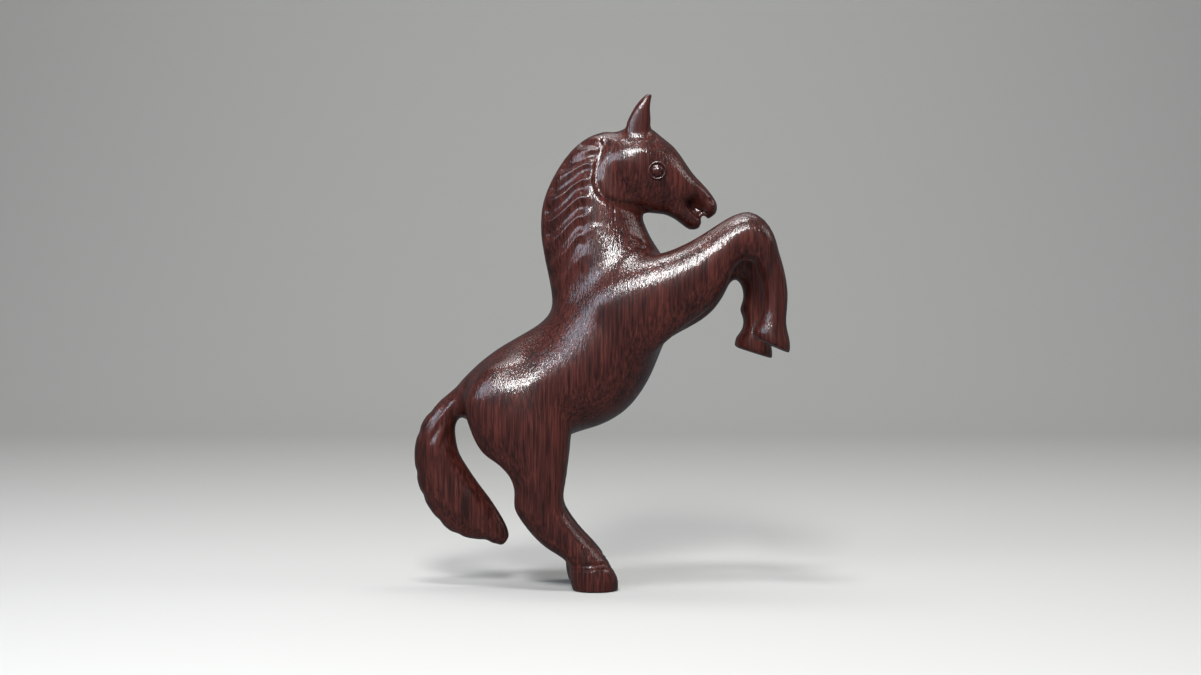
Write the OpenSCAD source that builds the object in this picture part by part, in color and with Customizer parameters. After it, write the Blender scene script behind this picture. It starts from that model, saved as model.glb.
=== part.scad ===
// Rearing horse, a glued-up wood carving. It stands on its two hind hooves.
// X runs from tail to nose, Y to the horse's left, Z up from the soles.
// Every glue face runs along the upright grain, so each joint is long grain to long grain.

/* [Overall] */
// Height from the soles to the ear tips
figure_h = 244; // [200:1:300]
// Width across the barrel
body_w = 55; // [48:1:62]
// Points around each carved section
section_points = 20; // [14:2:28]

/* [Blanks] */
// Thickness of the body's core between the let-in legs
core_w = 14; // [12:1:16]
// Where the rump block meets the barrel block, along X
rump_joint_x = -31; // [-34:1:-31]
// Where the tail meets the rump block, along X
tail_joint_x = -70.5; // [-71:0.5:-70]
// Where the near shank meets its forearm, along X
right_knee_joint_x = 68; // [67:0.5:70]
// Where the far shank meets its forearm, along X
left_knee_joint_x = 66; // [65:0.5:67]
// How far back the left hind hoof stands
left_hoof_back = 2.5; // [0:0.5:3]
// Height of the flat seats under the ears
ear_seat_z = 225; // [224:0.5:226]

/* [Dowels] */
// Diameter of the body, head, leg and tail dowels
dowel_d = 6; // [5:0.5:6]
// Diameter of the knee dowels
knee_dowel_d = 4; // [3:0.5:5]
// Diameter of the ear pegs
ear_peg_d = 2.5; // [2:0.5:3]
// Room for glue around each dowel, on the radius
glue_gap = 0.05; // [0.03:0.01:0.1]

/* [Eyes] */
// Diameter of the turned eye over its rim
eye_d = 9.2; // [7:0.2:10]
// Diameter of the eye's shank
eye_shank_d = 5; // [4:0.5:5.5]
// Length of the eye's shank
eye_shank_l = 5; // [3:0.5:6]

/* [Hidden] */

wood = [0.36, 0.17, 0.14];
dowel_wood = [0.72, 0.56, 0.38];

nominal_h = 244;
nominal_w = 55;
u = figure_h / nominal_h;
w = body_w / nominal_w;
core_half = core_w / 2 * w;
far = 200 * u;
right = -1;
left = 1;

// A rib is one cross-section of a limb or of the body, seen from the side:
// [x and z of its upper or front edge, x and z of its lower or rear edge, half thickness, offset in Y].
torso_ribs = [
    [-73, 98, -69.5, 86, 6.5, 0], [-67, 105, -64, 80, 15.5, 0], [-59, 112.5, -54, 72, 21.5, 0],
    [-50, 119.2, -40, 67, 24.8, 0], [-41.4, 124.2, -25, 70, 26.2, 0], [-33.4, 129, -13, 75.8, 26.5, 0],
    [-27, 134, 0.5, 80, 27.2, 0], [-23.5, 139.5, 13, 87.5, 27.5, 0], [-19, 146, 22.3, 99.2, 27.5, 0],
    [-12, 153, 28.2, 111.4, 26.5, 0], [-4, 159, 32, 120.6, 24.5, 0], [5, 162, 36.4, 128.6, 21.5, 0],
    [15, 163.5, 39.5, 139, 17, 0], [24, 162.5, 40, 149, 11.5, 0]
];
neck_ribs = [
    [-19, 130, 34, 146, 21, 0], [-24, 140, 34, 158, 21, 0], [-25.3, 150, 31, 165.5, 20, 0],
    [-27.5, 160, 27, 171, 18.5, 0], [-29.3, 170, 23.5, 177.5, 17, 0], [-30, 180, 21, 184, 16, 0],
    [-29, 190, 18, 192, 15, 0], [-26, 199, 16, 200, 13.8, 0], [-21, 208.5, 14, 208, 12.5, 0],
    [-14, 217.7, 12.5, 216, 11, 0], [-6, 223.8, 12, 222, 8.5, 0], [2, 226.6, 11, 225.5, 4, 0]
];
head_ribs = [
    [3, 222, -1, 203, 8, 0], [9, 227, 2.5, 195.5, 13, 0], [17, 229.4, 10, 191, 15, 0],
    [24, 229.2, 18, 187.7, 15.6, 0], [31, 223.8, 25.5, 185.8, 15, 0], [37, 218.8, 31.5, 185.3, 13.6, 0],
    [41.8, 212.2, 37.5, 185.5, 11.8, 0], [46, 206, 42, 187.5, 10.2, 0], [50, 201.6, 46.2, 191.4, 9, 0],
    [54, 197.2, 49.4, 189, 8.2, 0], [57.4, 192.3, 51.4, 186.4, 7.7, 0], [58.4, 188.6, 52.6, 184.2, 6.6, 0],
    [57.6, 185.6, 54, 182.9, 4.2, 0]
];
jaw_ribs = [
    [33, 202, 30, 186, 9, 0], [39, 196, 36.5, 183.3, 8.5, 0], [43.5, 191, 41, 180, 7.6, 0],
    [46.4, 187.6, 44, 178, 7, 0], [49.2, 184.5, 46.9, 177.6, 6.2, 0], [50.6, 182, 49.4, 178.6, 4.2, 0]
];
// The floor of the mouth, a web between the lips.
mouth_ribs = [
    [46.5, 192.5, 43.5, 189, 5, 0], [49.5, 189.6, 46.5, 186, 4, 0], [51.6, 187.4, 48.8, 184.2, 3, 0],
    [52, 186.2, 49.8, 183.6, 2, 0]
];
tail_ribs = [
    [-62, 90, -66, 103, 6.5, 0], [-68, 86.5, -71.5, 99.5, 7.2, 0], [-71, 83.5, -77, 95, 7.8, 0],
    [-72.3, 80.5, -82.5, 90, 8.5, 0], [-72.5, 76.5, -87.5, 84, 9.1, 0], [-72, 72, -91, 77, 9.5, 0],
    [-70.5, 66, -93, 68, 9.8, 0], [-67, 60, -92.7, 59, 9.8, 0], [-63, 54, -91, 50, 9.6, 0],
    [-59, 48.5, -87.5, 41.5, 9.2, 0], [-55.5, 44, -82, 33.5, 8.7, 0], [-52.5, 39.5, -75.5, 27.3, 8, 0],
    [-49.5, 34.7, -67.5, 23.8, 7, 0], [-47.3, 30.5, -59, 22.5, 6, 0], [-46, 27, -52.5, 20.6, 4.8, 0],
    [-45.7, 24, -48.8, 19.8, 3, 0]
];
right_foreleg_ribs = [
    [-7, 144, 2, 114, 6, 19], [0, 153, 12, 110, 9.5, 18], [11, 160, 23, 113, 11.5, 17.3],
    [22, 163.7, 32.5, 121.5, 12, 17], [33, 166.4, 41, 128, 11.7, 17], [43, 170.6, 49, 134.3, 11.2, 17],
    [51, 175, 56, 140.3, 10.6, 17], [59, 180.2, 61.7, 148, 10, 17], [66, 184, 65, 156, 9.6, 17],
    [73, 185.3, 69.5, 161.3, 9.5, 17], [80, 181.7, 74.2, 161.3, 9.2, 17], [85, 174.3, 77, 157.8, 8.7, 17],
    [87.4, 166, 78.6, 152.6, 8.2, 17], [90, 157, 79.6, 147.8, 7.8, 17], [91.7, 147, 79.4, 142, 7.5, 17],
    [91.5, 138, 78.8, 136, 7.5, 17], [91, 131.8, 76.8, 131, 7.9, 17], [91.8, 126.5, 74.8, 127.8, 8.6, 17],
    [93.2, 120.5, 74.4, 125.4, 9.2, 17], [92.8, 115.6, 75.2, 123.6, 9.2, 17]
];
left_foreleg_ribs = [
    [-7, 144, 2, 114, 6, 19], [0, 152, 12, 110, 9.5, 18], [11, 158.5, 23, 113, 11.5, 17.3],
    [22, 161.5, 32.5, 121, 12, 17], [33, 163.5, 41.5, 126.5, 11.7, 17], [43, 166.5, 50, 131.5, 11.2, 17],
    [51, 170, 57, 137, 10.6, 17], [58, 174.2, 62.2, 144, 10, 17], [64.5, 177.8, 65.5, 150.5, 9.6, 17],
    [71, 178.8, 68.5, 154, 9.5, 17], [77, 175.5, 70.4, 152.8, 9.1, 17], [81, 169, 71.6, 150.4, 8.6, 17],
    [82.8, 161.5, 72.6, 147.6, 8.1, 17], [83.4, 153.5, 73, 144.6, 7.7, 17], [83.8, 146, 72.2, 141.4, 7.5, 17],
    [84.2, 139.5, 71.2, 137.6, 7.5, 17], [84.2, 133.5, 73.2, 132, 7.6, 17], [85, 128.5, 71.6, 127, 8.2, 17],
    [87.4, 120.5, 68.8, 123.4, 9, 17], [88, 112.6, 68.2, 119, 9.2, 17]
];
hind_leg_ribs = [
    [-38, 115, -57, 109, 4.5, 17], [-26, 107, -64, 99, 8.6, 17], [-19, 97, -66.8, 89.5, 10.8, 17],
    [-16, 87, -65.2, 81, 11.7, 17.1], [-14, 77.8, -61.6, 72.5, 11.8, 17], [-15, 70, -57, 66.3, 11.4, 17],
    [-16, 62, -50.3, 61.6, 10.9, 17], [-17, 54.5, -44.6, 55.5, 10.3, 17], [-17.8, 48, -42.2, 48.5, 9.8, 17],
    [-18, 42.5, -42.3, 40.5, 9.4, 17], [-16, 37.5, -38.5, 33.5, 9, 17], [-11.5, 31.5, -32.7, 26.2, 8.6, 17],
    [-7, 26.5, -27, 21, 8.3, 17], [-2.5, 22, -21.5, 17.5, 8.2, 17], [1, 18, -17.3, 14.5, 8.4, 17],
    [4, 14, -15.6, 11.3, 9, 17], [7, 9, -15.2, 7.5, 9.6, 17], [9, 4, -14.6, 3.5, 10, 17],
    [8, -1, -13, -1, 9.7, 17]
];
ear_ribs = [
    [12, 220, 24.6, 219, 4.4, 8], [12, 225.5, 24.8, 225, 4.2, 8.2], [12.8, 229.5, 25, 229, 3.8, 8.6],
    [14.6, 233.5, 24.9, 233, 3.4, 9], [16.8, 237.5, 24.6, 237, 3, 9.3], [19.4, 240.8, 24.9, 240.5, 2.4, 9.5],
    [21.6, 243, 25.4, 243, 1.8, 9.6], [23, 244, 25.2, 244, 1.2, 9.6]
];

// Outlines of the glue joints, seen from the side as [x, z].
head_seat = [
    [3, 250], [-1.5, 214], [-3, 204], [0, 196.5], [7, 192], [14, 189], [21.8, 183.6],
    [30, 173], [42, 173.5], [50, 176.3], [55, 181], [61, 185.5], [70, 250]
];
hind_pad = [
    [-12, -10], [-12, 84], [-15, 98], [-24, 109], [-38, 115.5], [-52, 113], [-62, 104], [-70, 90],
    [-70, 70], [-45, 44], [-48, -10], [20, -10], [20, 50], [-12, 72]
];
fore_pad = [
    [33, 168], [20, 164.5], [8, 160], [-2, 152], [-7, 141], [-4, 126], [4, 113], [14, 107], [25, 110],
    [31, 118], [40, 100], [110, 100], [110, 200], [66, 200], [60, 184], [56, 181], [50, 177], [44, 173]
];
tail_side = [
    [tail_joint_x, 115], [tail_joint_x, 84], [-69, 77], [-66, 70], [-58, 60], [-51, 50], [-47.5, 40],
    [-43.5, 30], [-43, 10], [-110, 10], [-110, 115]
];

// Dowel centres: [x, z] for those along Y, [x, y, z, length, tilt] for those along X.
hip_dowel_at = [[-50, 90.5], [-26, 90.5]];
shoulder_dowel_at = [[8, 141], [22, 131]];
hip_dowel_l = 40;
shoulder_dowel_l = 40;
rump_dowel_at = [
    [rump_joint_x, 0, 82, 34, 0],
    [rump_joint_x, 0, 99, 34, 0],
    [rump_joint_x, 0, 116, 34, 0]
];
head_dowel_at = [[-1, 0, 202, 28, 0], [-1, 0, 214, 24, 0]];
tail_dowel_at = [[tail_joint_x, 0, 92.5, 24, 26]];
knee_dowel_at = [
    [right_knee_joint_x, right * 17, 168, 18, 0], [right_knee_joint_x, right * 17, 177, 18, 0],
    [left_knee_joint_x, left * 17, 162, 16, 0], [left_knee_joint_x, left * 17, 171, 16, 0]
];
ear_peg_at = [19, 8.2];
ear_peg_l = 12;
eye_at = [28, 205.8];
eye_seat_y = 13.6;

rib_steps = 2;

// The left hind leg is the right one, swung back a little below the hock.
hock_z = 50;
left_hind_ribs = [
    for (r = hind_leg_ribs)
        let (back = left_hoof_back * max(0, min(1, (hock_z - r[1]) / 25)))
            [r[0] - back, r[1], r[2] - back, r[3], r[4], r[5]]
];

// Ribs at the asked size.
function sized(ribs, side) = [
    for (r = ribs) [u * r[0], u * r[1], u * r[2], u * r[3], w * r[4], side * w * r[5]]
];

// One rib between b and c, a share t of the way, on a smooth curve through all four.
function between(a, b, c, d, t) =
    0.5 * (2 * b + (c - a) * t + (2 * a - 5 * b + 4 * c - d) * t * t + (3 * b - a - 3 * c + d) * t * t * t);

function faired(ribs) = let (last = len(ribs) - 1) concat(
    [
        for (i = [0 : last - 1], j = [0 : rib_steps - 1])
            between(ribs[max(i - 1, 0)], ribs[i], ribs[i + 1], ribs[min(i + 2, last)], j / rib_steps)
    ],
    [ribs[last]]
);

// The points of one rib. egg above 0 makes the section fuller towards its lower edge.
function section(r, egg) = [
    for (i = [0 : section_points - 1])
        let (a = 360 * i / section_points, c = cos(a))
            [
                (r[0] + r[2]) / 2 + (r[0] - r[2]) / 2 * c,
                r[5] + r[4] * sin(a) * (1 - egg * c),
                (r[1] + r[3]) / 2 + (r[1] - r[3]) / 2 * c
            ]
];

// A closed solid through a row of ribs.
module loft(ribs, side = right, egg = 0) {
    rows = faired(sized(ribs, side));
    n = section_points;
    points = [for (r = rows) each section(r, egg)];
    sides = [
        for (i = [0 : len(rows) - 2], j = [0 : n - 1])
            let (a = i * n + j, b = i * n + (j + 1) % n)
                each [[a, b, a + n], [b, b + n, a + n]]
    ];
    start = [for (j = [n - 1 : -1 : 0]) j];
    end = [for (j = [0 : n - 1]) (len(rows) - 1) * n + j];
    polyhedron(points = points, faces = concat(sides, [start], [end]), convexity = 6);
}

// Overlapping lofts joined into one closed surface.
module joined() resize([0, 0, 0]) union() children();

// A side-view outline drawn through the body from y0 to y1.
module slab(outline, y0, y1) {
    translate([0, y1, 0])
        rotate([90, 0, 0])
            linear_extrude(y1 - y0)
                polygon(u * outline);
}

// Everything on one side of the core, inside an outline.
module let_in(outline, side) {
    if (side == right) slab(outline, -far, -core_half);
    else slab(outline, core_half, far);
}

module ahead_of(x) translate([u * x, -far, -far]) cube(2 * far);
module behind(x) translate([u * x - 2 * far, -far, -far]) cube(2 * far);
module below_the_floor() translate([-far, -far, -2 * far]) cube(2 * far);

module torso_mass() loft(torso_ribs, right, 0.1);
module neck_mass() loft(neck_ribs, right, 0.12);
module body_mass() {
    torso_mass();
    neck_mass();
}
module head_mass() {
    loft(head_ribs, right, -0.05);
    loft(jaw_ribs);
    loft(mouth_ribs);
}
module foreleg_mass(side) {
    if (side == right) loft(right_foreleg_ribs, right);
    else loft(left_foreleg_ribs, left);
}

// Round dowels along X, tilted in the side view. With room, the bores that they are glued into.
module lengthwise_pins(places, d, room = 0) {
    for (p = places)
        translate([u * p[0], w * p[1], u * p[2]])
            rotate([0, 90 - p[4], 0])
                cylinder(d = d + 2 * room, h = u * p[3] + 2 * room, center = true, $fn = 48);
}

module cross_pins(places, length, room = 0) {
    for (p = places)
        translate([u * p[0], 0, u * p[1]])
            rotate([90, 0, 0])
                cylinder(d = dowel_d + 2 * room, h = w * length + 2 * room, center = true, $fn = 48);
}

module ear_pin(side, room = 0) {
    translate([u * ear_peg_at[0], side * w * ear_peg_at[1], u * ear_seat_z])
        cylinder(d = ear_peg_d + 2 * room, h = u * ear_peg_l + 2 * room, center = true, $fn = 48);
}

// A turned eye: shank, rolled rim and domed centre, facing away from the head.
module eye_shape(side, room = 0) {
    r = eye_d / 2;
    translate([u * eye_at[0], side * w * eye_seat_y, u * eye_at[1]])
        rotate([-90 * side, 0, 0]) {
            translate([0, 0, -eye_shank_l - room])
                cylinder(d = eye_shank_d + 2 * room, h = eye_shank_l + 2 * room, $fn = 48);
            if (room > 0) cylinder(r = r + room, h = 6, $fn = 64);
            else {
                cylinder(r = r, h = 1.3, $fn = 64);
                rotate_extrude($fn = 64) translate([r - 0.5, 1.3]) circle(r = 0.5, $fn = 24);
                intersection() {
                    translate([0, 0, -3.2]) sphere(r = 5.6, $fn = 64);
                    cylinder(r = r - 1, h = 6, $fn = 64);
                }
            }
        }
}

module barrel_and_neck() {
    color(wood) difference() {
        joined() difference() {
            body_mass();
            behind(rump_joint_x);
            slab(head_seat, -far, far);
            for (side = [right, left]) {
                let_in(hind_pad, side);
                let_in(fore_pad, side);
            }
        }
        lengthwise_pins(rump_dowel_at, dowel_d, glue_gap);
        lengthwise_pins(head_dowel_at, dowel_d, glue_gap);
        cross_pins(hip_dowel_at, hip_dowel_l, glue_gap);
        cross_pins(shoulder_dowel_at, shoulder_dowel_l, glue_gap);
    }
}

module rump() {
    color(wood) difference() {
        joined() difference() {
            union() {
                torso_mass();
                loft(tail_ribs);
            }
            ahead_of(rump_joint_x);
            slab(tail_side, -far, far);
            for (side = [right, left]) let_in(hind_pad, side);
        }
        lengthwise_pins(rump_dowel_at, dowel_d, glue_gap);
        lengthwise_pins(tail_dowel_at, dowel_d, glue_gap);
        cross_pins(hip_dowel_at, hip_dowel_l, glue_gap);
    }
}

module head() {
    color(wood) difference() {
        joined() difference() {
            intersection() {
                union() {
                    head_mass();
                    neck_mass();
                    for (side = [right, left]) loft(ear_ribs, side);
                }
                slab(head_seat, -far, far);
            }
            for (side = [right, left]) ear_cut(side);
        }
        lengthwise_pins(head_dowel_at, dowel_d, glue_gap);
        for (side = [right, left]) {
            ear_pin(side, glue_gap);
            eye_shape(side, glue_gap);
        }
    }
}

// Everything above an ear's flat seat and near the ear.
module ear_cut(side) {
    translate([u * 10, side > 0 ? w * 3 : -w * 23, u * ear_seat_z]) cube([u * 18, w * 20, u * 40]);
}

module ear(side) {
    color(wood) difference() {
        joined() intersection() {
            union() {
                loft(ear_ribs, side);
                head_mass();
            }
            ear_cut(side);
        }
        ear_pin(side, glue_gap);
    }
}

module tail() {
    color(wood) difference() {
        joined() intersection() {
            union() {
                loft(tail_ribs);
                torso_mass();
            }
            slab(tail_side, -far, far);
        }
        lengthwise_pins(tail_dowel_at, dowel_d, glue_gap);
    }
}

module foreleg(side) {
    joint_x = side == right ? right_knee_joint_x : left_knee_joint_x;
    color(wood) difference() {
        joined() difference() {
            intersection() {
                union() {
                    foreleg_mass(side);
                    body_mass();
                }
                let_in(fore_pad, side);
            }
            ahead_of(joint_x);
        }
        lengthwise_pins(knee_dowel_at, knee_dowel_d, glue_gap);
        cross_pins(shoulder_dowel_at, shoulder_dowel_l, glue_gap);
    }
}

module fore_shank(side) {
    joint_x = side == right ? right_knee_joint_x : left_knee_joint_x;
    color(wood) difference() {
        joined() difference() {
            foreleg_mass(side);
            behind(joint_x);
        }
        lengthwise_pins(knee_dowel_at, knee_dowel_d, glue_gap);
    }
}

module hind_leg(side) {
    color(wood) difference() {
        joined() intersection() {
            union() {
                loft(side == right ? hind_leg_ribs : left_hind_ribs, side);
                torso_mass();
            }
            let_in(hind_pad, side);
        }
        below_the_floor();
        cross_pins(hip_dowel_at, hip_dowel_l, glue_gap);
    }
}

module eye(side) {
    color(wood) eye_shape(side);
}

module rump_dowels() {
    color(dowel_wood) lengthwise_pins(rump_dowel_at, dowel_d);
}

module hip_dowels() {
    color(dowel_wood) cross_pins(hip_dowel_at, hip_dowel_l);
}

module shoulder_dowels() {
    color(dowel_wood) cross_pins(shoulder_dowel_at, shoulder_dowel_l);
}

module head_dowels() {
    color(dowel_wood) lengthwise_pins(head_dowel_at, dowel_d);
}

module knee_dowels() {
    color(dowel_wood) lengthwise_pins(knee_dowel_at, knee_dowel_d);
}

module tail_dowel() {
    color(dowel_wood) lengthwise_pins(tail_dowel_at, dowel_d);
}

module ear_pegs() {
    color(dowel_wood)
        for (side = [right, left]) ear_pin(side);
}

barrel_and_neck();
rump();
head();
tail();
foreleg(right);  // right_foreleg
fore_shank(right);  // right_fore_shank
foreleg(left);  // left_foreleg
fore_shank(left);  // left_fore_shank
hind_leg(right);  // right_hind_leg
hind_leg(left);  // left_hind_leg
ear(right);  // right_ear
ear(left);  // left_ear
eye(right);  // right_eye
eye(left);  // left_eye
rump_dowels();
hip_dowels();
shoulder_dowels();
head_dowels();
knee_dowels();
tail_dowel();
ear_pegs();
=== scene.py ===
"""Looks of a carved rearing horse: glued-up hardwood, stained dark reddish brown and lacquered."""

import math

import bmesh
import bpy
import numpy as np
from bpy.props import FloatProperty, FloatVectorProperty, IntProperty, PointerProperty
from mathutils import Matrix, Vector
from mathutils.bvhtree import BVHTree


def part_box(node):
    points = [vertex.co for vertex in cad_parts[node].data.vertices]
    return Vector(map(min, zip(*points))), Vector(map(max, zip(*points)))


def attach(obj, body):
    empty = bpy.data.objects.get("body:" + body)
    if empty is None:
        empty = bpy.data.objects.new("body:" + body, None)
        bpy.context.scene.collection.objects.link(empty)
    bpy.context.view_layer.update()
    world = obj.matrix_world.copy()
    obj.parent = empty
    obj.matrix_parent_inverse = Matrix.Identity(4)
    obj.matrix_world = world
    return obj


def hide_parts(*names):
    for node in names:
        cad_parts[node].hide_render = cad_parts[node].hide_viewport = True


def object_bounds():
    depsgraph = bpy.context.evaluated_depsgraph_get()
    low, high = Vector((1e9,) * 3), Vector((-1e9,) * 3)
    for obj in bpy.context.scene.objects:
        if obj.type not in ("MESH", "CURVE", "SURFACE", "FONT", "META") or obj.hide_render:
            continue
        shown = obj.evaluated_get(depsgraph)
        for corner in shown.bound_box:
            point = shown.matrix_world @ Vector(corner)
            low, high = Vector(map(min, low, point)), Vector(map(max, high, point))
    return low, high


bl_info = {
    "name": "Carved rearing horse",
    "version": (1, 0, 0),
    "blender": (4, 5, 0),
    "location": "View3D > Sidebar > Carving",
    "description": "Builds the skin, carving, lacquer and studio of a carved rearing horse",
    "category": "Object",
}

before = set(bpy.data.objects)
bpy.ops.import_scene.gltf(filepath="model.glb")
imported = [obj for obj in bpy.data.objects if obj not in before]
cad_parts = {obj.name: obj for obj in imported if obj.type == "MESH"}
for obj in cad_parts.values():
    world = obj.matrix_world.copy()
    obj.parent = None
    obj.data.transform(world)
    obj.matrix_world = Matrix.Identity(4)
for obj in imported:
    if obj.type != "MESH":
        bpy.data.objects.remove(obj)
CAD_LOW, CAD_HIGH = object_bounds()

# Lengths in the tables below are in millimetres on a horse this tall, in metres, and grow with the frame.
NOMINAL_HEIGHT = 0.244
SCALE = (CAD_HIGH.z - CAD_LOW.z) / NOMINAL_HEIGHT

CARVED = (
    "barrel_and_neck",
    "rump",
    "head",
    "tail",
    "right_foreleg",
    "right_fore_shank",
    "left_foreleg",
    "left_fore_shank",
    "right_hind_leg",
    "left_hind_leg",
    "right_ear",
    "left_ear",
)
EYES = ("right_eye", "left_eye")
PEGS = (
    "rump_dowels",
    "hip_dowels",
    "shoulder_dowels",
    "head_dowels",
    "knee_dowels",
    "tail_dowel",
    "ear_pegs",
)

# Chisel strokes: the path seen from the side, then the cut's depth and half width.
MANE_CUTS = (
    (((-12, 219.6), (-7, 220), (-2, 219), (2.5, 216.6)), 1.3, 2.4),
    (((-23, 208.5), (-17, 209.4), (-10, 211.6), (-4.5, 213.6), (0, 214)), 1.6, 3.4),
    (((-28, 196), (-21, 197.6), (-14.5, 202), (-9, 206.2), (-3.5, 207)), 1.9, 3.7),
    (((-30, 185), (-24, 187), (-17.5, 192), (-12, 197), (-5, 198.4)), 2.1, 3.9),
    (((-30, 174.5), (-24.5, 176.4), (-18, 182), (-12, 187.4), (-6, 189)), 2.0, 3.9),
    (((-29, 163.5), (-24, 165.6), (-18, 171.5), (-12.5, 178), (-7, 180.4)), 1.7, 3.9),
    (((-27.3, 152.5), (-22, 155.4), (-16.5, 162), (-12, 169), (-7.5, 172.6)), 1.2, 3.8),
    (((-25, 142), (-20, 146), (-14.5, 153), (-10, 161)), 0.7, 3.6),
)
MANE_EDGE = ((((-4.2, 198), (-3.6, 188), (-3, 178)), 0.3, 3.4),)
CHEEK_EDGE = (
    (
        ((3.4, 223), (1.6, 220), (-0.4, 214), (-2, 207), (-2, 200.5), (0.4, 195), (4, 191.8)),
        1.5,
        2.2,
    ),
    (((1, 194.4), (4, 191.8), (9, 190), (15, 188.8), (21, 187), (25, 184.5)), 1.7, 1.7),
)
TAIL_CUTS = (
    (((-71, 99), (-77, 91), (-83, 82), (-87.5, 74), (-90, 65)), 0.6, 1.6),
    (((-76, 86), (-81, 78), (-85, 71), (-87, 63), (-87.5, 55), (-85.5, 47)), 0.8, 1.7),
    (((-74.5, 78), (-78, 71), (-79.5, 64), (-78.5, 56), (-75, 48)), 0.5, 1.8),
    (((-84, 43), (-78, 36), (-71, 31), (-64, 28)), 0.5, 1.6),
    (((-60.5, 36), (-56.5, 30), (-53.5, 25), (-51.5, 21)), 0.7, 1.1),
    (((-56, 38), (-52, 31.5), (-50, 26), (-49, 22)), 0.7, 1.0),
)
# The share of its depth that a stroke keeps at its very ends.
STROKE_END = 0.25
# Small bites out of the tail's outer edge, where one lock ends and the next begins.
NICK_DEPTH = 0.6
NICK_RADIUS = 2.4
TAIL_NICKS = (
    (-85.2, 87.8),
    (-91.8, 77.2),
    (-92.6, 56.5),
    (-88.8, 45.0),
    (-81.5, 31.6),
    (-71.5, 24.4),
    (-57.5, 21.6),
)
# Dents and swellings: centre, half length, half width, turn in degrees, height out of the surface.
SWELLS = (
    ((13, 208), 7, 12, 0, 0.9),
    ((28, 205.8), 6.8, 6.4, 0, -0.3),
    ((22, 216), 8, 4, -10, 0.35),
    ((54.8, 191.6), 1.4, 0.9, -45, -0.9),
    ((-42, 109), 12, 6, 20, -0.9),
    ((-80.5, 67), 6, 3.4, -60, 0.8),
    ((-63.5, 44), 5, 2.4, -70, 0.6),
)
MOUTH_SLIT = ((((44.4, 190.9), (47.2, 188.2), (50, 185.6), (52.4, 183.6)), 3.4, 1.3),)
THROAT_CREASES = (
    (((15.5, 172.6), (18.5, 171.4), (21.5, 170.2)), 0.8, 0.8),
    (((17, 169.4), (20, 168), (23, 167.6)), 0.6, 0.7),
)
HOOF_LINES = (
    (((-16, 12.6), (-9, 12.9), (-2, 13.2), (5, 13.4)), 0.5, 0.8),
    (((-16, 10.4), (-9, 10.9), (-2, 11.2), (7, 11.1)), 0.3, 0.6),
)

def linear(hex_colour):
    """Linear RGBA of an sRGB hex colour."""
    channels = [int(hex_colour[i : i + 2], 16) / 255 for i in (1, 3, 5)]
    curve = [c / 12.92 if c <= 0.04045 else ((c + 0.055) / 1.055) ** 2.4 for c in channels]
    return (*curve, 1.0)


class CarvingSettings(bpy.types.PropertyGroup):
    """Sizes of the carver's skin and cuts."""

    voxel: FloatProperty(
        name="Skin grain",
        description="Spacing of the points on the carved skin",
        default=0.0008 * SCALE,
        min=0.0003,
        max=0.003,
        unit="LENGTH",
    )
    overlap: FloatProperty(
        name="Overlap",
        description="How far the rough pieces are grown to close their glue faces before they are skinned",
        default=0.0004 * SCALE,
        min=0.0,
        max=0.001,
        unit="LENGTH",
    )
    fairing: IntProperty(
        name="Fairing passes",
        description="How long the rough-cut surface is sanded fair",
        default=26,
        min=0,
        max=120,
    )
    crease_passes: IntProperty(
        name="Fillet passes",
        description="How far each hollow between two pieces is filled and rounded",
        default=70,
        min=0,
        max=300,
    )
    blending: IntProperty(
        name="Blending passes",
        description="How softly the shoulders and haunches run into the trunk",
        default=150,
        min=0,
        max=300,
    )
    cut_depth: FloatProperty(
        name="Cut depth",
        description="Depth of the chisel strokes against the usual depth",
        default=1.0,
        min=0.0,
        max=2.0,
        subtype="FACTOR",
    )
    wall: FloatProperty(
        name="Wall",
        description="Thickness of each piece's shell behind the skin",
        default=0.0015 * SCALE,
        min=0.0005,
        max=0.004,
        unit="LENGTH",
    )


class LacquerSettings(bpy.types.PropertyGroup):
    """Colours and gloss of the lacquered wood."""

    heart: FloatVectorProperty(
        name="Heartwood",
        description="Stained colour of most of the wood",
        default=linear("#3C1A16")[:3],
        min=0.0,
        max=1.0,
        size=3,
        subtype="COLOR",
    )
    light: FloatVectorProperty(
        name="Light streaks",
        description="Stained colour of the lighter streaks",
        default=linear("#52261F")[:3],
        min=0.0,
        max=1.0,
        size=3,
        subtype="COLOR",
    )
    dark: FloatVectorProperty(
        name="Dark streaks",
        description="Stained colour of the darker streaks",
        default=linear("#240F0D")[:3],
        min=0.0,
        max=1.0,
        size=3,
        subtype="COLOR",
    )
    pore: FloatVectorProperty(
        name="Pores",
        description="Colour of the stain pooled in the pores",
        default=linear("#150908")[:3],
        min=0.0,
        max=1.0,
        size=3,
        subtype="COLOR",
    )
    gloss: FloatProperty(
        name="Lacquer roughness",
        description="Roughness of the lacquer film; lower is glossier",
        default=0.12,
        min=0.0,
        max=1.0,
        subtype="FACTOR",
    )


class StudioSettings(bpy.types.PropertyGroup):
    """Floor, lights and camera."""

    camera_distance: FloatProperty(
        name="Camera distance",
        description="From the middle of the horse to the camera",
        default=0.834 * SCALE,
        min=0.2,
        max=3.0,
        unit="LENGTH",
    )
    camera_height: FloatProperty(
        name="Camera height",
        description="Height of the level camera over the floor",
        default=0.12375 * SCALE,
        min=0.0,
        max=2.0,
        unit="LENGTH",
    )
    lens: FloatProperty(
        name="Lens",
        description="Focal length on a 36 mm wide sensor, in millimetres",
        default=50.0,
        min=20.0,
        max=200.0,
    )


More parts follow.
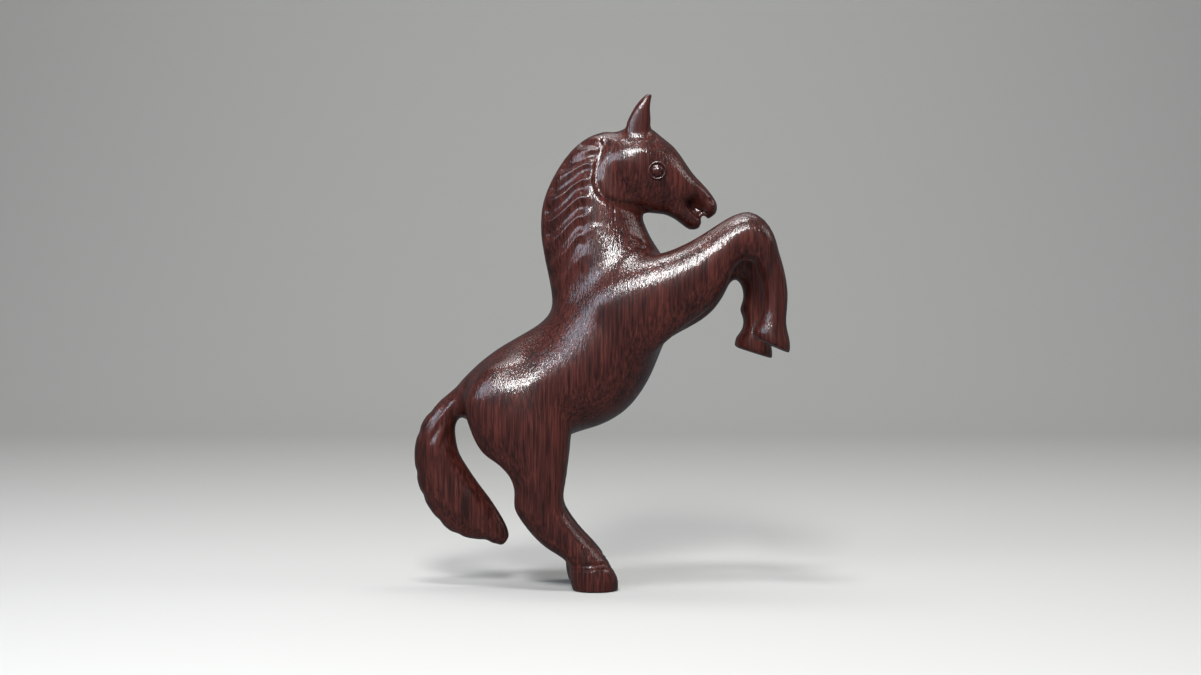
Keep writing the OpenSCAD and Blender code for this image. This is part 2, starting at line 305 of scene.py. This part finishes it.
def add_node(tree, kind, settings=None, links=None):
    """Adds a shader node, sets its values and links its inputs."""
    node = tree.nodes.new(kind)
    for name, value in (settings or {}).items():
        if isinstance(name, int) or name in node.inputs:
            node.inputs[name].default_value = value
        else:
            setattr(node, name, value)
    for name, source in (links or {}).items():
        tree.links.new(source, node.inputs[name])
    return node


def start_material(name):
    """An empty node material with its Principled shader, and the surface's object coordinates."""
    material = bpy.data.materials.new(name)
    material.use_nodes = True
    tree = material.node_tree
    shader = tree.nodes["Principled BSDF"]
    coordinates = add_node(tree, "ShaderNodeTexCoord").outputs["Object"]
    return material, tree, shader, coordinates


def ramp_stops(node, stops):
    """Sets a colour ramp's stops from (position, colour) pairs."""
    ramp = node.color_ramp
    while len(ramp.elements) < len(stops):
        ramp.elements.new(1.0)
    for element, (position, colour) in zip(ramp.elements, stops):
        element.position = position
        element.color = colour


# ---------------------------------------------------------------- materials


def upright_grain(tree, where, width_mm, stretch, roughness):
    """Noise of one width across the grain, drawn out along Z by the stretch."""
    across = 1 / (width_mm * 0.001)
    drawn_out = add_node(
        tree,
        "ShaderNodeMapping",
        {"Scale": (across, across, across / stretch)},
        {"Vector": where},
    ).outputs["Vector"]
    return add_node(
        tree,
        "ShaderNodeTexNoise",
        {"Scale": 1.0, "Detail": 2.0, "Roughness": roughness},
        {"Vector": drawn_out},
    ).outputs["Fac"]


def lacquered_hardwood():
    """Stained open-pored hardwood, carved, sanded and sprayed with clear gloss lacquer.

    The stain makes it dark reddish brown, with darker and lighter upright streaks. The lacquer sinks a
    little into the long pores, so its highlights break into upright threads.
    """
    lacquer = bpy.context.scene.lacquer
    material, tree, shader, where = start_material("Lacquered stained hardwood")
    # Real pores are about 0.2 mm wide. They are drawn three times as coarse, so that they show.
    streak_mm, figure_mm, pore_mm = 1.0, 6.0, 0.6
    streaks = upright_grain(tree, where, streak_mm, 30, roughness=0.5)
    figure = upright_grain(tree, where, figure_mm, 20, roughness=0.5)
    pores = upright_grain(tree, where, pore_mm, 25, roughness=0.55)
    tone = add_node(
        tree,
        "ShaderNodeMix",
        {"data_type": "FLOAT", "Factor": 0.3},
        {"A": streaks, "B": figure},
    ).outputs["Result"]
    colour = add_node(tree, "ShaderNodeValToRGB", links={"Fac": tone})
    ramp_stops(
        colour,
        (
            (0.36, (*lacquer.dark, 1.0)),
            (0.5, (*lacquer.heart, 1.0)),
            (0.64, (*lacquer.light, 1.0)),
        ),
    )
    pore_mask = add_node(tree, "ShaderNodeValToRGB", links={"Fac": pores})
    ramp_stops(pore_mask, ((0.3, (0.8, 0.8, 0.8, 1)), (0.46, (0, 0, 0, 1))))
    with_pores = add_node(
        tree,
        "ShaderNodeMix",
        {"data_type": "RGBA", 7: (*lacquer.pore, 1.0)},
        {0: pore_mask.outputs["Color"], 6: colour.outputs["Color"]},
    ).outputs[2]
    tree.links.new(with_pores, shader.inputs["Base Color"])
    film = add_node(
        tree,
        "ShaderNodeBump",
        {"Strength": 0.45, "Distance": 0.0004},
        {"Height": pores},
    ).outputs["Normal"]
    grain = add_node(
        tree,
        "ShaderNodeBump",
        {"Strength": 0.25, "Distance": 0.0006},
        {"Height": streaks, "Normal": film},
    ).outputs["Normal"]
    tree.links.new(grain, shader.inputs["Normal"])
    tree.links.new(grain, shader.inputs["Coat Normal"])
    shader.inputs["Roughness"].default_value = 0.38
    shader.inputs["Specular IOR Level"].default_value = 0.15
    shader.inputs["IOR"].default_value = 1.5
    shader.inputs["Coat Weight"].default_value = 1.0
    shader.inputs["Coat Roughness"].default_value = lacquer.gloss
    shader.inputs["Coat IOR"].default_value = 1.5
    return material


def birch_dowel():
    """Birch dowel rod, machined and left bare: pale, dry and matt, with faint fine fibres."""
    material, tree, shader, where = start_material("Bare birch dowel")
    fibre_mm = 0.5
    stretch = add_node(
        tree,
        "ShaderNodeMapping",
        {"Scale": (1 / (fibre_mm * 0.02), 1 / (fibre_mm * 0.001), 1 / (fibre_mm * 0.001))},
        {"Vector": where},
    ).outputs["Vector"]
    fibres = add_node(
        tree, "ShaderNodeTexNoise", {"Scale": 1.0, "Detail": 3.0}, {"Vector": stretch}
    ).outputs["Fac"]
    colour = add_node(tree, "ShaderNodeValToRGB", links={"Fac": fibres})
    ramp_stops(colour, ((0.35, linear("#B98F60")), (0.7, linear("#D9B98C"))))
    tree.links.new(colour.outputs["Color"], shader.inputs["Base Color"])
    bump = add_node(
        tree, "ShaderNodeBump", {"Strength": 0.3, "Distance": 0.0002}, {"Height": fibres}
    ).outputs["Normal"]
    tree.links.new(bump, shader.inputs["Normal"])
    shader.inputs["Roughness"].default_value = 0.7
    return material


def studio_paper():
    """Matt paper sweep: pale warm grey with a barely seen tooth."""
    material, tree, shader, where = start_material("Matt studio paper")
    tooth = add_node(
        tree, "ShaderNodeTexNoise", {"Scale": 900.0, "Detail": 2.0}, {"Vector": where}
    ).outputs["Fac"]
    bump = add_node(
        tree, "ShaderNodeBump", {"Strength": 0.05, "Distance": 0.0003}, {"Height": tooth}
    ).outputs["Normal"]
    tree.links.new(bump, shader.inputs["Normal"])
    shader.inputs["Base Color"].default_value = linear("#BDBDBA")
    shader.inputs["Roughness"].default_value = 0.9
    return material


def wood():
    """The one lacquered wood that every carved piece shares."""
    return bpy.data.materials.get("Lacquered stained hardwood") or lacquered_hardwood()


# ---------------------------------------------------------------- mesh helpers


def link_object(name, data):
    """A new object in the scene, for a mesh, a lamp or a camera."""
    made = bpy.data.objects.new(name, data)
    bpy.context.scene.collection.objects.link(made)
    return made


def add_eye_plugs(whole):
    """Fills each eye's bore to just under the cheek, so that the skin runs on beneath the turned rim."""
    for name in EYES:
        low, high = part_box(name)
        side = 1 if low.y + high.y > 0 else -1
        radius = (high.x - low.x) / 2 * 1.12
        length = (high.y - low.y) - 0.0012 * SCALE
        plug = bmesh.ops.create_cone(
            whole, cap_ends=True, segments=48, radius1=radius, radius2=radius, depth=length
        )["verts"]
        bmesh.ops.rotate(whole, verts=plug, matrix=Matrix.Rotation(math.pi / 2, 3, "X"))
        inner = low.y if side > 0 else high.y
        place = ((low.x + high.x) / 2, inner + side * length / 2, (low.z + high.z) / 2)
        bmesh.ops.translate(whole, verts=plug, vec=place)


def joined_copy(nodes, overlap):
    """One mesh of merged copies of the CAD nodes, grown so that neighbours overlap at their glue faces."""
    whole = bmesh.new()
    for name in nodes:
        one = bmesh.new()
        one.from_mesh(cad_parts[name].data)
        bmesh.ops.remove_doubles(one, verts=one.verts, dist=1e-6)
        one.normal_update()
        for v in one.verts:
            v.co += v.normal * overlap
        mesh = bpy.data.meshes.new("copy")
        one.to_mesh(mesh)
        one.free()
        whole.from_mesh(mesh)
        bpy.data.meshes.remove(mesh)
    add_eye_plugs(whole)
    joined = bpy.data.meshes.new("blank")
    whole.to_mesh(joined)
    whole.free()
    return joined


def one_skin(mesh, voxel):
    """The mesh's outer surface as one even net of quads."""
    lump = link_object("blank", mesh)
    remesh = lump.modifiers.new("skin", "REMESH")
    remesh.mode = "VOXEL"
    remesh.voxel_size = voxel
    graph = bpy.context.evaluated_depsgraph_get()
    skin = bpy.data.meshes.new_from_object(lump.evaluated_get(graph), depsgraph=graph)
    bpy.data.objects.remove(lump)
    surface = bmesh.new()
    surface.from_mesh(skin)
    keep_largest(surface)
    surface.to_mesh(skin)
    surface.free()
    return skin


def islands(surface):
    """Lists of vertices joined by edges."""
    seen = set()
    found = []
    for start in surface.verts:
        if start in seen:
            continue
        seen.add(start)
        island = [start]
        for v in island:
            for e in v.link_edges:
                other = e.other_vert(v)
                if other not in seen:
                    seen.add(other)
                    island.append(other)
        found.append(island)
    return found


def keep_largest(surface):
    """Drops every loose part but the largest."""
    parts = sorted(islands(surface), key=len)
    loose = [v for part in parts[:-1] for v in part]
    bmesh.ops.delete(surface, geom=loose, context="VERTS")


class Skin:
    """The points and edges of the carved surface, worked on together."""

    def __init__(self, mesh):
        self.mesh = mesh
        n, m = len(mesh.vertices), len(mesh.edges)
        self.co = np.empty(n * 3)
        mesh.vertices.foreach_get("co", self.co)
        self.co = self.co.reshape(-1, 3)
        ends = np.empty(m * 2, dtype=np.int64)
        mesh.edges.foreach_get("vertices", ends)
        self.a, self.b = ends.reshape(-1, 2).T
        self.count = np.maximum(np.bincount(self.a, minlength=n) + np.bincount(self.b, minlength=n), 1)

    def neighbours(self, values):
        """Mean of each point's neighbours."""
        n = len(self.count)
        columns = [
            np.bincount(self.a, values[:, k][self.b], n) + np.bincount(self.b, values[:, k][self.a], n)
            for k in range(values.shape[1])
        ]
        return np.stack(columns, 1) / self.count[:, None]

    def spread(self, values, passes, share=0.5):
        """Evens values out over the surface."""
        for _ in range(passes):
            values = values + share * (self.neighbours(values) - values)
        return values

    def fair(self, passes, share=0.5):
        """Sands the surface fair and gives back the size it loses. The share may differ by point."""
        smooth = self.spread(self.co, passes, share)
        self.co = smooth + self.spread(self.co - smooth, passes, share)

    def normals(self):
        """The surface's outward directions at its points."""
        self.store()
        flat = np.empty(len(self.co) * 3)
        self.mesh.vertices.foreach_get("normal", flat)
        return flat.reshape(-1, 3)

    def store(self):
        """Writes the points back to the mesh."""
        self.mesh.vertices.foreach_set("co", self.co.ravel())
        self.mesh.update()

    def fill_hollows(self, passes, share):
        """Rounds the hollows between two forms, and leaves every swelling as it is."""
        for i in range(passes):
            if i % 8 == 0:
                normals = self.spread(self.normals(), 2)
                normals /= np.linalg.norm(normals, axis=1)[:, None]
            pull = self.neighbours(self.co) - self.co
            lift = np.clip((pull * normals).sum(1), 0, None)
            self.co = self.co + normals * (lift * share)[:, None]


def distance_to_path(x, z, path):
    """Distance from each point to a path in the side view, and how far along it, from 0 to 1."""
    best = np.full(len(x), 1e9)
    along = np.zeros(len(x))
    points = np.array(path, float) * 0.001 * SCALE
    steps = len(points) - 1
    for i in range(steps):
        start, run = points[i], points[i + 1] - points[i]
        t = np.clip(((x - start[0]) * run[0] + (z - start[1]) * run[1]) / (run @ run), 0, 1)
        d = np.hypot(x - start[0] - t * run[0], z - start[1] - t * run[1])
        closer = d < best
        best[closer] = d[closer]
        along[closer] = (i + t[closer]) / steps
    return best, along


def smooth_step(low, high, value):
    """0 below low, 1 above high, and an even slope between."""
    t = np.clip((value - low) / (high - low), 0, 1)
    return t * t * (3 - 2 * t)


def faired_path(path, steps=6):
    """A smooth curve through given points."""
    points = [np.array(p, float) for p in path]
    points = [2 * points[0] - points[1], *points, 2 * points[-1] - points[-2]]
    curve = []
    for i in range(1, len(points) - 2):
        a, b, c, d = points[i - 1 : i + 3]
        for j in range(steps):
            t = j / steps
            bend = (2 * a - 5 * b + 4 * c - d) * t**2 + (3 * b - a - 3 * c + d) * t**3
            curve.append(0.5 * (2 * b + (c - a) * t + bend))
    curve.append(points[-2])
    return curve


def cut_amount(skin, strokes, taper=0.18):
    """How deep these chisel strokes go at each point, in metres. Both ends of a stroke run out."""
    x, z = skin.co[:, 0], skin.co[:, 2]
    amount = np.zeros(len(x))
    for path, depth, half_width in strokes:
        d, along = distance_to_path(x, z, faired_path(path))
        width = half_width * 0.001 * SCALE
        ends = smooth_step(0, taper, along) * smooth_step(0, taper, 1 - along)
        gouge = depth * 0.001 * SCALE * np.exp(-((d / width) ** 2))
        amount = np.maximum(amount, gouge * (STROKE_END + (1 - STROKE_END) * ends))
    return amount


# ---------------------------------------------------------------- the carving


def owner_tree():
    """A search tree over every carved CAD node's faces, and the node that owns each face."""
    corners, faces, owners = [], [], []
    for index, name in enumerate(CARVED):
        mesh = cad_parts[name].data
        first = len(corners)
        corners += [v.co.copy() for v in mesh.vertices]
        for polygon in mesh.polygons:
            faces.append([first + v for v in polygon.vertices])
            owners.append(index)
    return BVHTree.FromPolygons(corners, faces), owners


def carve(skin, settings):
    """Works the rough body into the finished horse."""
    mm = 0.001 * SCALE
    x, _, z = skin.co.T / mm
    # Thin and sharp places are sanded less. Each mask is 1 on its place and runs out to 0 around it.
    lips = smooth_step(38, 44, x) * smooth_step(172, 176, z)
    ears = smooth_step(228, 231, z)
    soles = 1 - smooth_step(1, 4, z)
    toes = smooth_step(66, 69, x) * (1 - smooth_step(120, 126, z))
    fine = np.maximum.reduce([lips, ears, soles, 0.5 * toes])[:, None]
    skin.fair(settings.fairing, 0.5 * (1 - 0.8 * fine))
    skin.fill_hollows(settings.crease_passes, 0.9 * (1 - fine[:, 0]))
    # Shoulders and haunches are blended further, from the hock to the withers.
    x, _, z = skin.co.T / mm
    trunk = smooth_step(60, 80, z) * (1 - smooth_step(166, 178, z)) * (1 - smooth_step(40, 56, x))
    trunk *= smooth_step(-72, -64, x)
    skin.fair(settings.blending, 0.5 * trunk[:, None])
    skin.co = skin.spread(skin.co, 16, 0.5 * toes[:, None])
    skin.fair(3, 0.5 * (1 - 0.8 * fine))
    x, y, z = skin.co.T / mm
    normals = skin.normals()
    # Strokes are cut from the sides, and fade where the surface turns away.
    side = smooth_step(0.12, 0.55, np.abs(normals[:, 1]))

    neck_only = smooth_step(136, 150, z) * (1 - smooth_step(0, 4, x))
    mane = cut_amount(skin, MANE_CUTS) * neck_only * side
    edges = np.maximum(cut_amount(skin, MANE_EDGE, 0.12), cut_amount(skin, CHEEK_EDGE, 0.1)) * side
    tail = cut_amount(skin, TAIL_CUTS) * (1 - smooth_step(-47, -44, x)) * (1 - smooth_step(94, 100, z))
    creases = cut_amount(skin, THROAT_CREASES) * side
    hoof = cut_amount(skin, HOOF_LINES, 0.02) * (x > -20)
    mouth = cut_amount(skin, MOUTH_SLIT, 0.1) * smooth_step(0.2, 0.6, np.abs(y) / 5)
    cut = np.maximum(mane, edges) + tail + creases + hoof + mouth

    nicks = np.zeros(len(x))
    for nx, nz in TAIL_NICKS:
        nicks = np.maximum(nicks, np.exp(-(((x - nx) ** 2 + (z - nz) ** 2) / NICK_RADIUS**2)))
    cut += nicks * NICK_DEPTH * mm

    swell = np.zeros(len(x))
    for (cx, cz), along, across, turn, height in SWELLS:
        c, s = math.cos(math.radians(turn)), math.sin(math.radians(turn))
        u = ((x - cx) * c + (z - cz) * s) / along
        v = (-(x - cx) * s + (z - cz) * c) / across
        swell += height * mm * np.exp(-(u**2 + v**2)) * side

    skin.co = skin.co + normals * (swell - settings.cut_depth * cut)[:, None]
    skin.fair(1)
    skin.co = np.clip(skin.co, np.array(CAD_LOW), np.array(CAD_HIGH))
    skin.store()


def face_owners(mesh):
    """The CAD node that each face of the skin belongs to. Lone specks go to their neighbours."""
    tree, owners = owner_tree()
    owner = np.array([owners[tree.find_nearest(p.center)[2]] for p in mesh.polygons])
    surface = bmesh.new()
    surface.from_mesh(mesh)
    surface.faces.ensure_lookup_table()
    around = [[o.index for e in f.edges for o in e.link_faces if o is not f] for f in surface.faces]
    surface.free()
    for _ in range(6):
        votes = [np.bincount([*owner[near], owner[i]]).argmax() for i, near in enumerate(around)]
        owner = np.array(votes)
    return owner


def split_off(mesh, owner, index):
    """The part of the skin that one CAD node owns, with its rim marked sharp."""
    surface = bmesh.new()
    surface.from_mesh(mesh)
    surface.faces.ensure_lookup_table()
    others = [f for f in surface.faces if owner[f.index] != index]
    bmesh.ops.delete(surface, geom=others, context="FACES")
    for e in surface.edges:
        if e.is_boundary:
            e.smooth = False
    for f in surface.faces:
        f.smooth = True
    part = bpy.data.meshes.new(CARVED[index])
    surface.to_mesh(part)
    surface.free()
    return part


class CARVING_OT_body(bpy.types.Operator):
    """Carve the horse's body, legs, head, ears and tail, and split it at the glue joints"""

    bl_idname = "carving.body"
    bl_label = "Carve the horse"

    def execute(self, context):
        settings = context.scene.carving
        mesh = one_skin(joined_copy(CARVED, settings.overlap), settings.voxel)
        skin = Skin(mesh)
        skin.co -= skin.normals() * settings.overlap
        carve(skin, settings)
        owner = face_owners(mesh)
        for index, name in enumerate(CARVED):
            part = split_off(mesh, owner, index)
            if not part.polygons:
                raise RuntimeError(f"no carved surface was left for {name}")
            piece = link_object(f"carved_{name}", part)
            part.materials.append(wood())
            shell = piece.modifiers.new("wall", "SOLIDIFY")
            shell.thickness = settings.wall
            shell.offset = -1.0
            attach(piece, "root")
            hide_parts(name)
        bpy.data.meshes.remove(mesh)
        return {"FINISHED"}


def turned_button(profile, steps=72):
    """A closed turned form, from (radius, height) points in metres, about Z."""
    surface = bmesh.new()
    points = [surface.verts.new((r, 0, h)) for r, h in profile]
    edges = [surface.edges.new(pair) for pair in zip(points, points[1:])]
    bmesh.ops.spin(
        surface,
        geom=points + edges,
        cent=(0, 0, 0),
        axis=(0, 0, 1),
        angle=math.tau,
        steps=steps,
        use_merge=True,
    )
    bmesh.ops.remove_doubles(surface, verts=surface.verts, dist=1e-6)
    bmesh.ops.recalc_face_normals(surface, faces=surface.faces)
    return surface


def arc(centre, radius, start, end, steps):
    """Points on a circle in the profile plane, from one angle to another, in degrees."""
    angles = [math.radians(start + (end - start) * i / steps) for i in range(steps + 1)]
    return [(centre[0] + radius * math.cos(a), centre[1] + radius * math.sin(a)) for a in angles]


class CARVING_OT_eyes(bpy.types.Operator):
    """Turn the two button eyes, each with a beaded rim and a domed centre"""

    bl_idname = "carving.eyes"
    bl_label = "Turn the eyes"

    def execute(self, context):
        for name in EYES:
            low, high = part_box(name)
            side = 1 if low.y + high.y > 0 else -1
            radius = (high.x - low.x) / 2
            length = high.y - low.y
            bead = radius * 0.12
            rim_top = length - radius * 0.16 - bead
            dome_r, dome_base = radius * 0.66, rim_top - bead
            shank = radius * 0.6
            profile = [(0, 0), (shank, 0), (shank, length - radius * 0.45)]
            profile += [(radius, length - radius * 0.45), (radius, rim_top)]
            profile += arc((radius - bead, rim_top), bead, 0, 180, 10)
            profile += [(dome_r + bead * 0.6, dome_base), (dome_r, dome_base)]
            rise = length - dome_base
            profile += [
                (dome_r * math.cos(a), dome_base + rise * math.sin(a))
                for a in [math.radians(9 * i) for i in range(1, 10)]
            ]
            profile.append((0, length))
            surface = turned_button(profile)
            middle = Vector(((low.x + high.x) / 2, low.y if side > 0 else high.y, (low.z + high.z) / 2))
            for v in surface.verts:
                x, y, z = v.co
                v.co = middle + Vector((x, side * z, y))
            bmesh.ops.recalc_face_normals(surface, faces=surface.faces)
            for f in surface.faces:
                f.smooth = True
            for e in surface.edges:
                if len(e.link_faces) == 2 and e.calc_face_angle() > math.radians(40):
                    e.smooth = False
            mesh = bpy.data.meshes.new(name)
            surface.to_mesh(mesh)
            surface.free()
            mesh.materials.append(wood())
            button = link_object(f"turned_{name}", mesh)
            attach(button, "root")
            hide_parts(name)
        return {"FINISHED"}


class CARVING_OT_dowels(bpy.types.Operator):
    """Give the hidden dowels their bare birch"""

    bl_idname = "carving.dowels"
    bl_label = "Finish the dowels"

    def execute(self, context):
        birch = birch_dowel()
        for name in PEGS:
            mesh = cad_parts[name].data
            mesh.materials.clear()
            mesh.materials.append(birch)
        return {"FINISHED"}


def soft_light(name, place, aim, width, height, power, colour=(1, 1, 1)):
    """A rectangular softbox that looks at its aim."""
    lamp = bpy.data.lights.new(name, "AREA")
    lamp.shape = "RECTANGLE"
    lamp.size, lamp.size_y = width, height
    lamp.energy = power
    lamp.color = colour
    holder = link_object(name, lamp)
    holder.location = place
    holder.rotation_euler = (Vector(aim) - Vector(place)).to_track_quat("-Z", "Y").to_euler()


class CARVING_OT_studio(bpy.types.Operator):
    """Set the pale floor, the soft lights and the camera"""

    bl_idname = "carving.studio"
    bl_label = "Set up the studio"

    def execute(self, context):
        scene = context.scene
        settings = scene.studio
        middle = (CAD_LOW + CAD_HIGH) / 2
        sweep = bmesh.new()
        front, back, bend, top, half = -3.0, 1.3, 0.9, 3.2, 6.0
        bend_steps = 12
        line = [(front, 0.0), (back, 0.0)]
        line += [
            (back + bend * math.sin(a), bend - bend * math.cos(a))
            for a in [math.radians(90 * i / bend_steps) for i in range(1, bend_steps + 1)]
        ]
        line.append((back + bend, top))
        ground = CAD_LOW.z - 0.0001
        points = [sweep.verts.new((-half, y, ground + z)) for y, z in line]
        edges = [sweep.edges.new(pair) for pair in zip(points, points[1:])]
        drawn = bmesh.ops.extrude_edge_only(sweep, edges=edges)["geom"]
        moved = [g for g in drawn if isinstance(g, bmesh.types.BMVert)]
        bmesh.ops.translate(sweep, verts=moved, vec=(2 * half, 0, 0))
        bmesh.ops.recalc_face_normals(sweep, faces=sweep.faces)
        for f in sweep.faces:
            f.smooth = True
        floor_mesh = bpy.data.meshes.new("floor")
        sweep.to_mesh(floor_mesh)
        sweep.free()
        floor_mesh.materials.append(studio_paper())
        floor = link_object("floor", floor_mesh)
        # The floor stays out of the lacquer's reflections, which it would veil from below.
        floor.visible_glossy = False

        soft_light("key", (-0.08, -0.86, 0.72), middle, 0.22, 0.32, 11.0)
        soft_light("sky", (-0.7, -0.6, 0.55), middle, 0.42, 0.34, 3.0, (0.76, 0.84, 1.0))
        soft_light("top", (-0.1, -0.28, 1.1), middle, 0.26, 0.16, 6.0)
        soft_light("edge", (0.95, -0.1, 0.75), middle, 0.16, 0.3, 1.2, (1.0, 0.99, 0.97))
        soft_light("paper", (0.0, 0.55, 2.2), (0, 1.6, 0.4), 2.2, 0.8, 26.0)
        world = bpy.data.worlds.new("studio")
        world.use_nodes = True
        room = world.node_tree.nodes["Background"]
        room.inputs["Color"].default_value = (0.8, 0.86, 0.92, 1)
        room.inputs["Strength"].default_value = 0.12
        scene.world = world

        lens = bpy.data.cameras.new("camera")
        lens.lens = settings.lens
        lens.sensor_width = 36.0
        camera = link_object("camera", lens)
        camera.location = (middle.x, middle.y - settings.camera_distance, settings.camera_height)
        camera.rotation_euler = (math.pi / 2, 0, 0)
        lens.clip_start, lens.clip_end = 0.01, 20.0
        scene.camera = camera
        scene.view_settings.view_transform = "Standard"
        return {"FINISHED"}


class CARVING_PT_panel(bpy.types.Panel):
    """Lists the steps and their settings."""

    bl_label = "Carved horse"
    bl_idname = "CARVING_PT_panel"
    bl_space_type = "VIEW_3D"
    bl_region_type = "UI"
    bl_category = "Carving"

    def draw(self, context):
        scene = context.scene
        for group in (scene.carving, scene.lacquer, scene.studio):
            box = self.layout.box()
            for name in group.__annotations__:
                box.prop(group, name)
        for step in STEPS:
            self.layout.operator(step.bl_idname)


STEPS = (CARVING_OT_body, CARVING_OT_eyes, CARVING_OT_dowels, CARVING_OT_studio)
SETTINGS = (CarvingSettings, LacquerSettings, StudioSettings)


def register():
    for cls in (*SETTINGS, *STEPS, CARVING_PT_panel):
        bpy.utils.register_class(cls)
    bpy.types.Scene.carving = PointerProperty(type=CarvingSettings)
    bpy.types.Scene.lacquer = PointerProperty(type=LacquerSettings)
    bpy.types.Scene.studio = PointerProperty(type=StudioSettings)


def unregister():
    del bpy.types.Scene.studio
    del bpy.types.Scene.lacquer
    del bpy.types.Scene.carving
    for cls in (CARVING_PT_panel, *reversed(STEPS), *reversed(SETTINGS)):
        bpy.utils.unregister_class(cls)


def main():
    register()
    bpy.ops.carving.body()
    bpy.ops.carving.eyes()
    bpy.ops.carving.dowels()
    bpy.ops.carving.studio()


if __name__ == "__main__":
    main()
